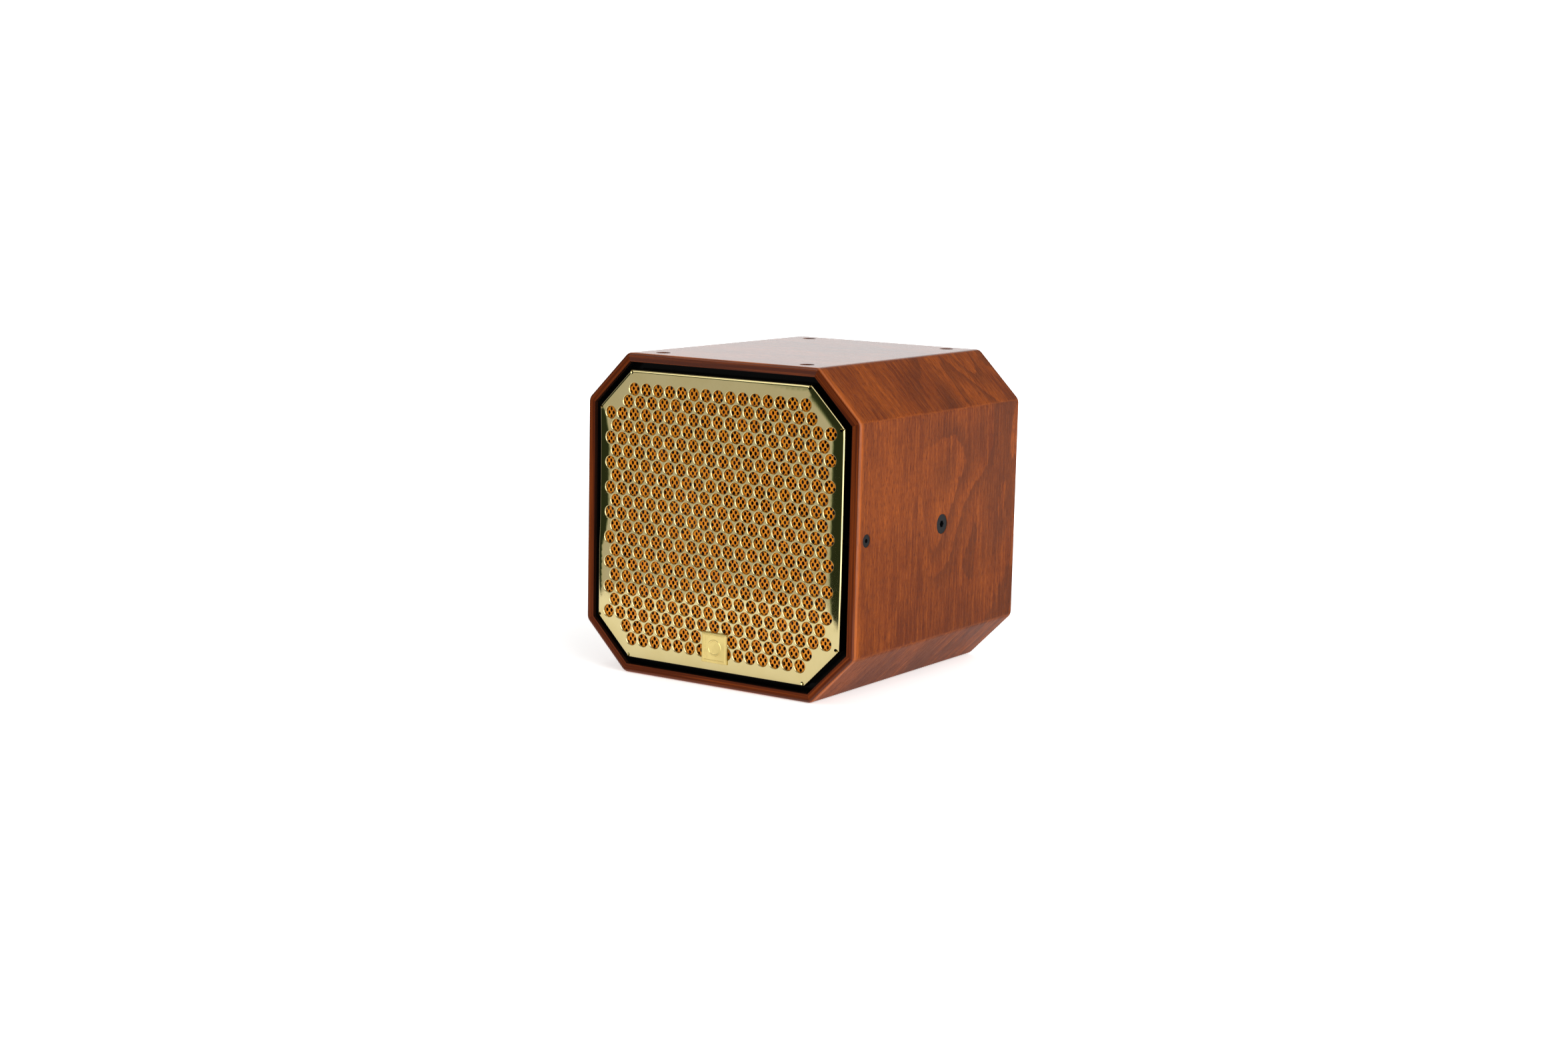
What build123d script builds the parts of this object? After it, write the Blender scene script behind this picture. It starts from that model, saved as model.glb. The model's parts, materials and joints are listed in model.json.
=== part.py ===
"""Compact coaxial horn loudspeaker in an octagonal veneered cabinet.

The origin is the centre of the bottom face. +Z is up, the grille faces -Y
and +X is the right-hand side as seen from the front. Sizes are in mm.
"""

import os
from math import radians, sqrt, tan

from build123d import *

os.makedirs("parts", exist_ok=True)

# Cabinet
SIDE = 200.0  # width and height over the walls
DEPTH = 190.0
CORNER_LEG = 30.0  # leg of the 45 degree corner walls
WALL = 12.0
JOINT_ROUND = 6.0  # long edges where two walls meet
FRONT_ROUND = 1.8
BACK_ROUND = 1.5
RIM = 5.5  # wood left in front of the rebate
SHORT_REBATE = 8.0
SIDE_REBATE = 18.0
BOARD = 12.0  # front baffle and rear panel
REAR_RECESS = 4.0
REAR_GAP = 0.25

# Grille
GRILLE_INSET = 10.0
GRILLE_PROUD = 2.0
SHEET = 1.2
SHORT_FLANGE = 7.5
SIDE_FLANGE = 18.0
HOLE_PITCH = 9.0
HOLE_RADIUS = 3.85
HALF_ROWS = 10
CLOTH = 0.8
BADGE_SIZE = 18.8
BADGE_THICK = 1.2

# Fastening and rigging
GRILLE_SCREW_Y = 10.4  # from the front rim
YOKE_SCREW_Y = 97.0  # from the front rim
INSERT_X = 53.0
INSERT_FROM_END = 14.0
INSERT_RADIUS = 4.5
INSERT_LENGTH = 10.0
INSERT_RECESS = 0.8
M6_TAP = 2.5

# Woofer, along the driver axis from the baffle backwards
DRIVER_RADIUS = 82.5
BAFFLE_HOLE = 73.0
BOLT_RADIUS = 78.5
BOLT_COUNT = 8
FLANGE_THICK = 3.0
GASKET = 1.5
CONE_OUTER = 60.0
NECK_Y = -54.0
FORMER_RADIUS = 25.3
FORMER_WALL = 0.3
POLE_RADIUS = 24.7
SPIDER_Y = -43.0
PLATE_FRONT = -30.0
PLATE_THICK = 7.0
MAGNET_THICK = 18.0
MAGNET_RADIUS = 55.0

# Horn and high-frequency driver
THROAT_RADIUS = 13.0
MOUTH_RADIUS = 42.0
MOUTH_Y = -85.0
HF_RADIUS = 43.0
HF_POLE = 16.6
HF_COIL = 17.1
DOME = 24.4
HF_SCREW_CIRCLE = 40.0

# Input plate on the rear panel
PLATE_WIDTH = 100.0
PLATE_HEIGHT = 52.0
PLATE_SHEET = 2.0
PLATE_Z = 62.0
SOCKET_X = 22.0
SOCKET_BARREL = 12.0
SOCKET_BORE = 11.0
SOCKET_CORE = 6.2

# Crossover on the bottom wall
CIRCUIT_WIDTH = 100.0
CIRCUIT_DEPTH = 78.0
CIRCUIT_Y = 17.0
CIRCUIT_THICK = 1.6
SPACER = 6.0

FRONT = -DEPTH / 2
BACK = DEPTH / 2
HALF = SIDE / 2
MID = SIDE / 2
BAFFLE_FRONT = FRONT + SIDE_REBATE
BAFFLE_BACK = BAFFLE_FRONT + BOARD
FLANGE_BACK = BAFFLE_FRONT - GASKET
FLANGE_FRONT = FLANGE_BACK - FLANGE_THICK
PLATE_BACK = PLATE_FRONT + PLATE_THICK
MAGNET_BACK = PLATE_BACK + MAGNET_THICK
POLE_BACK = MAGNET_BACK + PLATE_THICK
REAR_FACE = BACK - REAR_RECESS
REAR_INNER = REAR_FACE - BOARD
PLATE_FACE = REAR_FACE + PLATE_SHEET
GRILLE_FACE = FRONT - GRILLE_PROUD
CIRCUIT_TOP = WALL + SPACER + CIRCUIT_THICK

DRIVER_AXIS = Axis((0, 0, MID), (0, 1, 0))
AXIAL = Plane(origin=(0, 0, MID), x_dir=(0, 1, 0), z_dir=(1, 0, 0))  # x is depth, y is radius


def facing_front(y, x=0.0, z=MID):
    """Plane across the driver axis, its normal towards the front."""
    return Plane(origin=(x, y, z), x_dir=(1, 0, 0), z_dir=(0, -1, 0))


def facing_back(y, x=0.0, z=MID):
    """Plane across the driver axis, its normal towards the back."""
    return Plane(origin=(x, y, z), x_dir=(-1, 0, 0), z_dir=(0, 1, 0))


def facing_side(side, x, y, z=MID):
    """Plane whose normal leaves through the right (+1) or left (-1) wall."""
    return Plane(origin=(side * x, y, z), x_dir=(0, side, 0), z_dir=(side, 0, 0))


def octagon(inset):
    """Corners of the cabinet outline moved inwards by inset, from the lower right upwards."""
    half = HALF - inset
    flat = HALF - CORNER_LEG - inset * (sqrt(2) - 1)
    return [
        (half, -flat), (half, flat), (flat, half), (-flat, half),
        (-half, flat), (-half, -flat), (-flat, -half), (flat, -half),
    ]


def ring(front, back, inner, outer):
    """Outline of a plain ring for turned()."""
    return [(front, inner), (back, inner), (back, outer), (front, outer)]


def turned(outline):
    """Solid of revolution about the driver axis from (depth, radius) points."""
    with BuildPart() as solid:
        with BuildSketch(AXIAL):
            with BuildLine():
                Polyline(*outline, close=True)
            make_face()
        revolve(axis=DRIVER_AXIS)
    return solid.part


def spread(solid, places):
    """Copies of one solid, one at each place."""
    with BuildPart() as group:
        with Locations(*places):
            add(solid)
    return group.part


def screw(outline, socket):
    """Screw turned from (radius, height) points about its own axis, with a hexagon socket."""
    top = max(height for _, height in outline)
    head = max(radius for radius, _ in outline)
    with BuildPart() as body:
        with BuildSketch(Plane.XZ):
            with BuildLine():
                Polyline(*outline, close=True)
            make_face()
        revolve(axis=Axis.Z)
        with BuildSketch(Plane.XY.offset(top)):
            RegularPolygon(socket / 2, 6, major_radius=False)
        extrude(amount=-head / 2, mode=Mode.SUBTRACT)
    return body.part


def countersunk(shank, head, length, socket):
    """Countersunk screw, its head flush with the plane that it is placed on."""
    outline = [(0, 0), (head, 0), (shank, shank - head), (shank, -length), (0, -length)]
    return screw(outline, socket)


def cap_screw(shank, head, height, length, socket):
    """Cylinder-head screw, its head seated on the plane that it is placed on."""
    outline = [(0, height), (head, height), (head, 0), (shank, 0), (shank, -length), (0, -length)]
    return screw(outline, socket)


def bush(outer, inner, length):
    """Plain round sleeve running down from the plane that it is placed on."""
    with BuildPart() as sleeve:
        Cylinder(outer, length, align=(Align.CENTER, Align.CENTER, Align.MAX))
        Hole(inner)
    return sleeve.part


def flanged_nut(flange, flange_thick, barrel, bore, length):
    """Threaded sleeve with a flange, the flange on top and the barrel pointing down."""
    with BuildPart() as nut:
        Cylinder(flange, flange_thick, align=(Align.CENTER, Align.CENTER, Align.MIN))
        Cylinder(barrel, length, align=(Align.CENTER, Align.CENTER, Align.MAX))
        Hole(bore)
    return nut.part


def wires(route, radius):
    """Lead along a route of straight runs, each corner rounded as far as its runs allow."""
    points = [Vector(*point) for point in route]
    radii = []
    for before, corner, after in zip(points, points[1:], points[2:]):
        turn = radians((corner - before).get_angle(after - corner))
        shorter = min((corner - before).length, (after - corner).length)
        radii.append(0.45 * shorter / tan(turn / 2))
    print("lead radii:", [round(value, 1) for value in radii])
    with BuildPart() as lead:
        with BuildLine() as path:
            FilletPolyline(*points, radius=radii)
        with BuildSketch(Plane(origin=path.line @ 0, z_dir=path.line % 0)):
            Circle(radius)
        sweep(path=path.line)
    return lead.part


# Cabinet shell, before it is parted along its mitres
with BuildPart() as shell:
    with BuildSketch(facing_front(FRONT)) as outline:
        Polygon(*octagon(0), align=None)
        fillet(outline.vertices(), JOINT_ROUND)
    extrude(amount=-DEPTH)
    fillet(shell.faces().sort_by(Axis.Y)[0].edges(), FRONT_ROUND)
    fillet(shell.faces().sort_by(Axis.Y)[-1].edges(), BACK_ROUND)
    with BuildSketch(facing_front(FRONT)):
        Polygon(*octagon(WALL), align=None)
    extrude(amount=-DEPTH, mode=Mode.SUBTRACT)

# One wall after another, from the right side anticlockwise as seen from the front
WALL_NAMES = [
    "right_panel", "corner_panel_top_right", "top_panel", "corner_panel_top_left",
    "left_panel", "corner_panel_bottom_left", "bottom_panel", "corner_panel_bottom_right",
]
outer_corners = octagon(-WALL)
inner_corners = octagon(2 * WALL)
rigging_y = [FRONT + INSERT_FROM_END, BACK - INSERT_FROM_END]
rigging_points = [(x, y) for x in (-INSERT_X, INSERT_X) for y in rigging_y]
pieces = {}

for index, wall_name in enumerate(WALL_NAMES):
    following = (index + 1) % len(WALL_NAMES)
    side = {"right_panel": 1, "left_panel": -1}.get(wall_name, 0)
    with BuildPart() as wall:
        add(shell.part)
        with BuildSketch(facing_front(FRONT)):
            Polygon(outer_corners[index], outer_corners[following],
                    inner_corners[following], inner_corners[index], align=None)
        extrude(amount=-DEPTH, mode=Mode.INTERSECT)
        with BuildSketch(facing_front(FRONT)):
            Polygon(*octagon(RIM), align=None)
        extrude(amount=-(SIDE_REBATE if side else SHORT_REBATE), mode=Mode.SUBTRACT)
        if side:
            with Locations(facing_side(side, HALF, FRONT + GRILLE_SCREW_Y)):
                CounterSinkHole(2.1, 4.2, depth=RIM + 1)
            with Locations(facing_side(side, HALF, FRONT + YOKE_SCREW_Y)):
                CounterSinkHole(3.7, 6.4, depth=WALL + 1)
        if wall_name == "top_panel":
            with Locations(*[(x, y, SIDE) for x, y in rigging_points]):
                Hole(INSERT_RADIUS, depth=INSERT_LENGTH + INSERT_RECESS)
        if wall_name == "bottom_panel":
            with Locations(*[Plane((x, y, 0), z_dir=(0, 0, -1)) for x, y in rigging_points]):
                Hole(INSERT_RADIUS, depth=INSERT_LENGTH + INSERT_RECESS)
            with BuildSketch(Plane.XY.offset(WALL)):
                with Locations((0, CIRCUIT_Y)):
                    with GridLocations(CIRCUIT_WIDTH - 12, CIRCUIT_DEPTH - 12, 2, 2):
                        Circle(1.5)
            extrude(amount=-9, mode=Mode.SUBTRACT)
    pieces[wall_name] = wall

# Boards and cleats
with BuildPart() as front_baffle:
    with BuildSketch(facing_front(BAFFLE_FRONT)):
        Polygon(*octagon(WALL), align=None)
        Circle(BAFFLE_HOLE, mode=Mode.SUBTRACT)
        with PolarLocations(BOLT_RADIUS, BOLT_COUNT, start_angle=22.5):
            Circle(3.2, mode=Mode.SUBTRACT)
    extrude(amount=-BOARD)

rear_screw_places = [(45, 81), (81, 40), (81, -40), (45, -81), (-45, -81), (-81, -40), (-81, 40), (-45, 81)]
plate_screw_places = [(x, z) for x in (-44, 44) for z in (-20, 20)]

with BuildPart() as rear_panel:
    with BuildSketch(facing_front(REAR_INNER)):
        Polygon(*octagon(WALL + REAR_GAP), align=None)
        with Locations((0, PLATE_Z - MID)):
            Rectangle(76, 30, mode=Mode.SUBTRACT)
            with Locations(*plate_screw_places):
                Circle(1.6, mode=Mode.SUBTRACT)
        with Locations(*rear_screw_places):
            Circle(2.1, mode=Mode.SUBTRACT)
    extrude(amount=-BOARD)

with BuildPart() as rear_cleats:
    for across in (-1, 1):
        with Locations((0, REAR_INNER - 6, MID + across * 81)):
            Box(120, 12, 14)
        with Locations((across * 81, REAR_INNER - 6, MID)):
            Box(14, 12, 120)
    with BuildSketch(facing_back(REAR_INNER)):
        with Locations(*rear_screw_places):
            Circle(2)
    extrude(amount=-8, mode=Mode.SUBTRACT)

# Rigging points
insert = bush(INSERT_RADIUS, M6_TAP, INSERT_LENGTH)
with BuildPart() as top_rigging_inserts:
    add(spread(insert, [Plane((x, y, SIDE - INSERT_RECESS)) for x, y in rigging_points]))
with BuildPart() as bottom_rigging_inserts:
    add(spread(insert, [Plane((x, y, INSERT_RECESS), z_dir=(0, 0, -1)) for x, y in rigging_points]))

yoke_y = FRONT + YOKE_SCREW_Y
with BuildPart() as side_rigging_inserts:
    add(spread(flanged_nut(9.0, 1.5, 3.65, 3.0, 7.5),
               [Plane((across * (HALF - WALL), yoke_y, MID), z_dir=(-across, 0, 0)) for across in (-1, 1)]))
with BuildPart() as side_blanking_screws:
    add(spread(countersunk(2.95, 6.1, 11.0, 4.0),
               [facing_side(across, HALF - 0.3, yoke_y) for across in (-1, 1)]))

# Grille, its cloth and its fixings
grille_half = HALF - GRILLE_INSET
with BuildPart() as grille:
    with BuildSketch(facing_front(GRILLE_FACE)):
        Polygon(*octagon(GRILLE_INSET), align=None)
    extrude(amount=-SIDE_FLANGE)
    fillet(grille.faces().sort_by(Axis.Y)[0].edges(), 1.5)
    with BuildSketch(facing_front(GRILLE_FACE + SHEET)):
        Polygon(*octagon(GRILLE_INSET + SHEET), align=None)
    extrude(amount=-SIDE_FLANGE, mode=Mode.SUBTRACT)
    with BuildSketch(facing_front(GRILLE_FACE + SHORT_FLANGE)):
        Rectangle(2 * grille_half - 2 * SHEET, SIDE)
        for across in (-1, 1):
            with Locations((0, across * (grille_half - 12))):
                Rectangle(SIDE, 26)
    extrude(amount=-SIDE_FLANGE, mode=Mode.SUBTRACT)
    with BuildSketch(facing_front(GRILLE_FACE)):
        for row in range(-HALF_ROWS, HALF_ROWS + 1):
            holes = {HALF_ROWS: 15, HALF_ROWS - 1: 16}.get(abs(row), 19 - row % 2)
            with Locations((0, row * HOLE_PITCH * sqrt(3) / 2)):
                with GridLocations(HOLE_PITCH, HOLE_PITCH, holes, 1):
                    Circle(HOLE_RADIUS)
    extrude(amount=-SHEET, mode=Mode.SUBTRACT)
    with Locations(*[facing_side(across, grille_half, FRONT + GRILLE_SCREW_Y) for across in (-1, 1)]):
        Hole(2.2, depth=SHEET + 0.5)

with BuildPart() as grille_cloth:
    with BuildSketch(facing_front(GRILLE_FACE + SHEET)):
        Polygon(*octagon(GRILLE_INSET + SHEET + 1), align=None)
    extrude(amount=-CLOTH)

with BuildPart() as badge:
    with BuildSketch(facing_front(GRILLE_FACE, 1.2, 24.9)):
        RectangleRounded(BADGE_SIZE, BADGE_SIZE, 1.0)
    extrude(amount=BADGE_THICK)
    fillet(badge.faces().sort_by(Axis.Y)[0].edges(), 0.3)

screw_y = FRONT + GRILLE_SCREW_Y
with BuildPart() as grille_screws:
    add(spread(countersunk(2.0, 3.9, 14.0, 2.5),
               [facing_side(across, HALF - 0.3, screw_y) for across in (-1, 1)]))
with BuildPart() as grille_spacers:
    add(spread(bush(4.5, 2.1, GRILLE_INSET - RIM),
               [facing_side(across, HALF - RIM, screw_y) for across in (-1, 1)]))
with BuildPart() as grille_nuts:
    add(spread(bush(3.6, 2.0, 4.0),
               [facing_side(across, grille_half - SHEET, screw_y) for across in (-1, 1)]))

# Woofer frame and its fixings
with BuildPart() as woofer_gasket:
    add(turned(ring(FLANGE_BACK, BAFFLE_FRONT, BAFFLE_HOLE, DRIVER_RADIUS)))
    with BuildSketch(facing_front(FLANGE_BACK)):
        with PolarLocations(BOLT_RADIUS, BOLT_COUNT, start_angle=22.5):
            Circle(2.6)
    extrude(amount=-GASKET, mode=Mode.SUBTRACT)

with BuildPart() as basket:
    add(turned([
        (FLANGE_FRONT, 69), (FLANGE_FRONT, DRIVER_RADIUS), (FLANGE_BACK, DRIVER_RADIUS),
        (FLANGE_BACK, 72), (BAFFLE_BACK, 71), (SPIDER_Y, 53), (PLATE_FRONT, 50),
        (PLATE_FRONT, 28.5), (PLATE_FRONT - 3, 28.5), (PLATE_FRONT - 3, 44), (SPIDER_Y, 44),
        (SPIDER_Y, 50.5), (BAFFLE_BACK, 68),
    ]))
    with Locations(facing_front(-54)):
        with PolarLocations(60, 6):
            Box(26, 38, 13, mode=Mode.SUBTRACT)
    with BuildSketch(facing_front(FLANGE_FRONT)):
        with PolarLocations(BOLT_RADIUS, BOLT_COUNT, start_angle=22.5):
            Circle(2.6)
    extrude(amount=-FLANGE_THICK, mode=Mode.SUBTRACT)

with Locations(facing_front(FLANGE_FRONT)):
    with PolarLocations(BOLT_RADIUS, BOLT_COUNT, start_angle=22.5) as bolts:
        bolt_places = list(bolts.locations)
with Locations(facing_back(BAFFLE_BACK)):
    with PolarLocations(BOLT_RADIUS, BOLT_COUNT, start_angle=22.5) as nuts:
        nut_places = list(nuts.locations)
with BuildPart() as woofer_screws:
    add(spread(cap_screw(2.5, 4.2, 5.0, 20.0, 4.0), bolt_places))
with BuildPart() as woofer_tee_nuts:
    add(spread(flanged_nut(6.4, 1.5, 3.2, 2.5, 7.0), nut_places))

with BuildPart() as terminal_block:
    with Locations((0, PLATE_FRONT - 6, MID - 56.5)):
        Box(20, 10, 7)
        with GridLocations(12, 0, 2, 1):
            with Locations((0, 0, -5)):
                Box(4.8, 0.8, 4)

# Moving parts of the woofer
with BuildPart() as surround:
    with BuildSketch(AXIAL):
        with BuildLine():
            Line((FLANGE_FRONT - 0.5, 73), (FLANGE_FRONT - 0.5, 69))
            ThreePointArc((FLANGE_FRONT - 0.5, 69), (FLANGE_FRONT - 5, 64.5),
                          (FLANGE_FRONT - 0.5, CONE_OUTER))
            Line((FLANGE_FRONT - 0.5, CONE_OUTER), (FLANGE_FRONT, CONE_OUTER))
            ThreePointArc((FLANGE_FRONT, CONE_OUTER + 0.5), (FLANGE_FRONT - 4.5, 64.5), (FLANGE_FRONT, 68.5))
            Line((FLANGE_FRONT, CONE_OUTER), (FLANGE_FRONT, CONE_OUTER + 0.5))
            Line((FLANGE_FRONT, 68.5), (FLANGE_FRONT, 73))
            Line((FLANGE_FRONT, 73), (FLANGE_FRONT - 0.5, 73))
        make_face()
    revolve(axis=DRIVER_AXIS)

neck = FORMER_RADIUS + FORMER_WALL
with BuildPart() as cone:
    with BuildSketch(AXIAL):
        with BuildLine():
            ThreePointArc((FLANGE_FRONT, CONE_OUTER), (-66, 45), (NECK_Y, neck))
            Line((NECK_Y, neck), (NECK_Y + 2, neck))
            ThreePointArc((NECK_Y + 2, neck), (-65, 45), (FLANGE_FRONT + 1, CONE_OUTER))
            Line((FLANGE_FRONT + 1, CONE_OUTER), (FLANGE_FRONT, CONE_OUTER))
        make_face()
    revolve(axis=DRIVER_AXIS)

with BuildPart() as spider:
    add(turned(ring(SPIDER_Y - 1, SPIDER_Y, neck, 50)))
with BuildPart() as coil_former:
    add(turned(ring(NECK_Y, PLATE_BACK + 9, FORMER_RADIUS, neck)))
with BuildPart() as voice_coil:
    add(turned(ring(PLATE_FRONT - 3.5, PLATE_BACK + 3.5, neck, neck + 0.8)))

# Woofer motor
with BuildPart() as top_plate:
    add(turned(ring(PLATE_FRONT, PLATE_BACK, 27, 50)))
with BuildPart() as magnet:
    add(turned(ring(PLATE_BACK, MAGNET_BACK, 32, MAGNET_RADIUS)))
    chamfer(magnet.edges().filter_by(GeomType.CIRCLE).group_by(SortBy.RADIUS)[-1], 1.5)

hf_screw_angle = 45
with BuildPart() as pole_piece:
    add(turned([
        (POLE_BACK, THROAT_RADIUS), (POLE_BACK, 52), (MAGNET_BACK, 52), (MAGNET_BACK, POLE_RADIUS),
        (PLATE_FRONT + 2, POLE_RADIUS), (PLATE_FRONT + 2, 15), (PLATE_FRONT + 8, 15),
        (PLATE_FRONT + 8, THROAT_RADIUS),
    ]))
    with BuildSketch(facing_back(POLE_BACK)):
        with PolarLocations(HF_SCREW_CIRCLE, 4, start_angle=hf_screw_angle):
            Circle(1.5)
    extrude(amount=-5, mode=Mode.SUBTRACT)

# Horn through the pole and the high-frequency driver behind it
with BuildPart() as horn:
    with BuildSketch(AXIAL):
        with BuildLine():
            Spline((PLATE_FRONT + 8, THROAT_RADIUS), (-45, 15.5), (-62, 21), (-76, 31),
                   (MOUTH_Y, MOUTH_RADIUS))
            ThreePointArc((MOUTH_Y, MOUTH_RADIUS), (MOUTH_Y - 0.6, MOUTH_RADIUS + 1.8),
                          (MOUTH_Y + 1.2, MOUTH_RADIUS + 2))
            Spline((MOUTH_Y + 1.2, MOUTH_RADIUS + 2), (-75, 33.5), (-61, 23.3), (-45, 17.8),
                   (PLATE_FRONT - 1, 15.8))
            Polyline((PLATE_FRONT - 1, 15.8), (PLATE_FRONT - 1, 24.3), (PLATE_FRONT + 2, 24.3),
                     (PLATE_FRONT + 2, 15), (PLATE_FRONT + 8, 15), (PLATE_FRONT + 8, THROAT_RADIUS))
        make_face()
    revolve(axis=DRIVER_AXIS)

hf_front = POLE_BACK
with BuildPart() as hf_pole_plate:
    add(turned([
        (hf_front, THROAT_RADIUS), (hf_front, HF_RADIUS), (hf_front + 6, HF_RADIUS),
        (hf_front + 6, HF_POLE), (hf_front + 22, HF_POLE), (hf_front + 22, THROAT_RADIUS),
    ]))
with BuildPart() as phase_plug:
    add(turned(ring(hf_front + 12, hf_front + 22, 11.5, THROAT_RADIUS)))
    add(turned([(hf_front + 3, 0), (hf_front + 12, 4.5), (hf_front + 22, 8), (hf_front + 22, 0)]))
    with Locations(facing_back(hf_front + 17)):
        with PolarLocations(9.25, 4):
            Box(5.5, 1.2, 10)
with BuildPart() as hf_magnet:
    add(turned(ring(hf_front + 6, hf_front + 16, 21, 37)))
with BuildPart() as hf_top_plate:
    add(turned(ring(hf_front + 16, hf_front + 21, 18, HF_RADIUS)))
with BuildPart() as hf_mounting_ring:
    add(turned(ring(hf_front + 21, hf_front + 25, 20, HF_RADIUS)))
with BuildPart() as hf_coil:
    add(turned(ring(hf_front + 16.5, hf_front + 21, HF_COIL, HF_COIL + 0.4)))
dome_centre = hf_front + 6


def on_dome(radius, edge):
    """Point of the dome's section at a distance from the driver axis."""
    return (dome_centre + sqrt(radius**2 - edge**2), edge)


lip = hf_front + 23.5
with BuildPart() as hf_diaphragm:
    with BuildSketch(AXIAL):
        with BuildLine():
            Polyline(on_dome(DOME, 16.9), (lip, 16.9), (hf_front + 17, 16.9), (hf_front + 17, HF_COIL),
                     (lip, HF_COIL), (lip, 19.7), (lip + 0.3, 19.7), on_dome(DOME + 0.3, HF_COIL))
            ThreePointArc(on_dome(DOME + 0.3, HF_COIL), on_dome(DOME + 0.3, 9), on_dome(DOME + 0.3, 0))
            Line(on_dome(DOME + 0.3, 0), on_dome(DOME, 0))
            ThreePointArc(on_dome(DOME, 0), on_dome(DOME, 9), on_dome(DOME, 16.9))
        make_face()
    revolve(axis=DRIVER_AXIS)

with BuildPart() as hf_rear_cover:
    add(turned([
        (hf_front + 25, 33), (hf_front + 25, HF_RADIUS), (hf_front + 27, HF_RADIUS), (hf_front + 27, 36),
        (hf_front + 42, 36), (hf_front + 42, 0), (hf_front + 39, 0), (hf_front + 39, 33),
    ]))
    fillet(hf_rear_cover.faces().sort_by(Axis.Y)[-1].edges(), 2)

with Locations(facing_back(hf_front + 27)):
    with PolarLocations(HF_SCREW_CIRCLE, 4, start_angle=hf_screw_angle) as hf_bolts:
        hf_screw_places = list(hf_bolts.locations)
for plate in (hf_pole_plate, hf_top_plate, hf_mounting_ring, hf_rear_cover):
    with plate:
        with Locations(*hf_screw_places):
            Hole(1.6, depth=40)
with BuildPart() as hf_screws:
    add(spread(cap_screw(1.5, 2.8, 3.0, 31.5, 2.5), hf_screw_places))

# Input plate with its two four-pole sockets
with BuildPart() as input_plate:
    with BuildSketch(facing_back(PLATE_FACE, 0, PLATE_Z)):
        RectangleRounded(PLATE_WIDTH, PLATE_HEIGHT, 4)
        with GridLocations(2 * SOCKET_X, 0, 2, 1):
            Circle(SOCKET_BARREL, mode=Mode.SUBTRACT)
    extrude(amount=-PLATE_SHEET)
    for x in (-SOCKET_X, SOCKET_X):
        with Locations(*[facing_back(PLATE_FACE, x + corner * 9.5, PLATE_Z + corner * 12)
                         for corner in (-1, 1)]):
            Hole(1.3, depth=PLATE_SHEET)
    with Locations(*[facing_back(PLATE_FACE, x, PLATE_Z + z) for x, z in plate_screw_places]):
        CounterSinkHole(1.7, 3.2, depth=PLATE_SHEET)


def socket(x):
    """Four-pole loudspeaker socket: flange, barrel with an annular mouth and a central core."""
    with BuildPart() as housing:
        with BuildSketch(facing_back(PLATE_FACE, x, PLATE_Z)):
            RectangleRounded(26, 31, 2)
        extrude(amount=2)
        with BuildSketch(facing_back(PLATE_FACE, x, PLATE_Z)):
            Circle(SOCKET_BARREL)
        extrude(amount=-20)
        with BuildSketch(facing_back(PLATE_FACE + 2, x, PLATE_Z)):
            Circle(SOCKET_BORE)
            Circle(SOCKET_CORE, mode=Mode.SUBTRACT)
        extrude(amount=-19, mode=Mode.SUBTRACT)
        with BuildSketch(facing_back(PLATE_FACE + 2, x, PLATE_Z)):
            Circle(SOCKET_CORE)
        extrude(amount=-2, mode=Mode.SUBTRACT)
        with Locations(*[facing_back(PLATE_FACE + 2, x + corner * 9.5, PLATE_Z + corner * 12)
                         for corner in (-1, 1)]):
            CounterSinkHole(1.3, 2.4, depth=2)
    return housing


input_socket = socket(-SOCKET_X)
link_socket = socket(SOCKET_X)
with BuildPart() as socket_contacts:
    for x in (-SOCKET_X, SOCKET_X):
        with Locations((x, PLATE_FACE - 20 - 4, PLATE_Z)):
            with GridLocations(10, 0, 2, 1):
                with Locations((0, 0, -6), (0, 0, 6)):
                    Box(0.8, 8, 5)
with BuildPart() as socket_screws:
    places = [facing_back(PLATE_FACE + 2, x + corner * 9.5, PLATE_Z + corner * 12)
              for x in (-SOCKET_X, SOCKET_X) for corner in (-1, 1)]
    add(spread(countersunk(1.25, 2.3, 6.0, 1.5), places))
with BuildPart() as input_plate_screws:
    places = [facing_back(PLATE_FACE, x, PLATE_Z + z) for x, z in plate_screw_places]
    add(spread(countersunk(1.55, 3.1, 12.0, 2.0), places))
with BuildPart() as rear_panel_screws:
    places = [facing_back(REAR_FACE, -x, MID + z) for x, z in rear_screw_places]
    add(spread(cap_screw(1.9, 4.0, 2.4, 19.0, 2.5), places))

# Crossover
with BuildPart() as crossover_board:
    with BuildSketch(Plane.XY.offset(WALL + SPACER)):
        with Locations((0, CIRCUIT_Y)):
            Rectangle(CIRCUIT_WIDTH, CIRCUIT_DEPTH)
            with GridLocations(CIRCUIT_WIDTH - 12, CIRCUIT_DEPTH - 12, 2, 2):
                Circle(1.6, mode=Mode.SUBTRACT)
    extrude(amount=CIRCUIT_THICK)
with GridLocations(CIRCUIT_WIDTH - 12, CIRCUIT_DEPTH - 12, 2, 2) as grid:
    board_corners = [(place.position.X, place.position.Y + CIRCUIT_Y) for place in grid.locations]
with BuildPart() as board_spacers:
    add(spread(bush(3.5, 1.6, SPACER), [Plane((x, y, WALL + SPACER)) for x, y in board_corners]))
with BuildPart() as board_screws:
    add(spread(cap_screw(1.45, 2.8, 2.4, 15.0, 2.5), [Plane((x, y, CIRCUIT_TOP)) for x, y in board_corners]))
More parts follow.
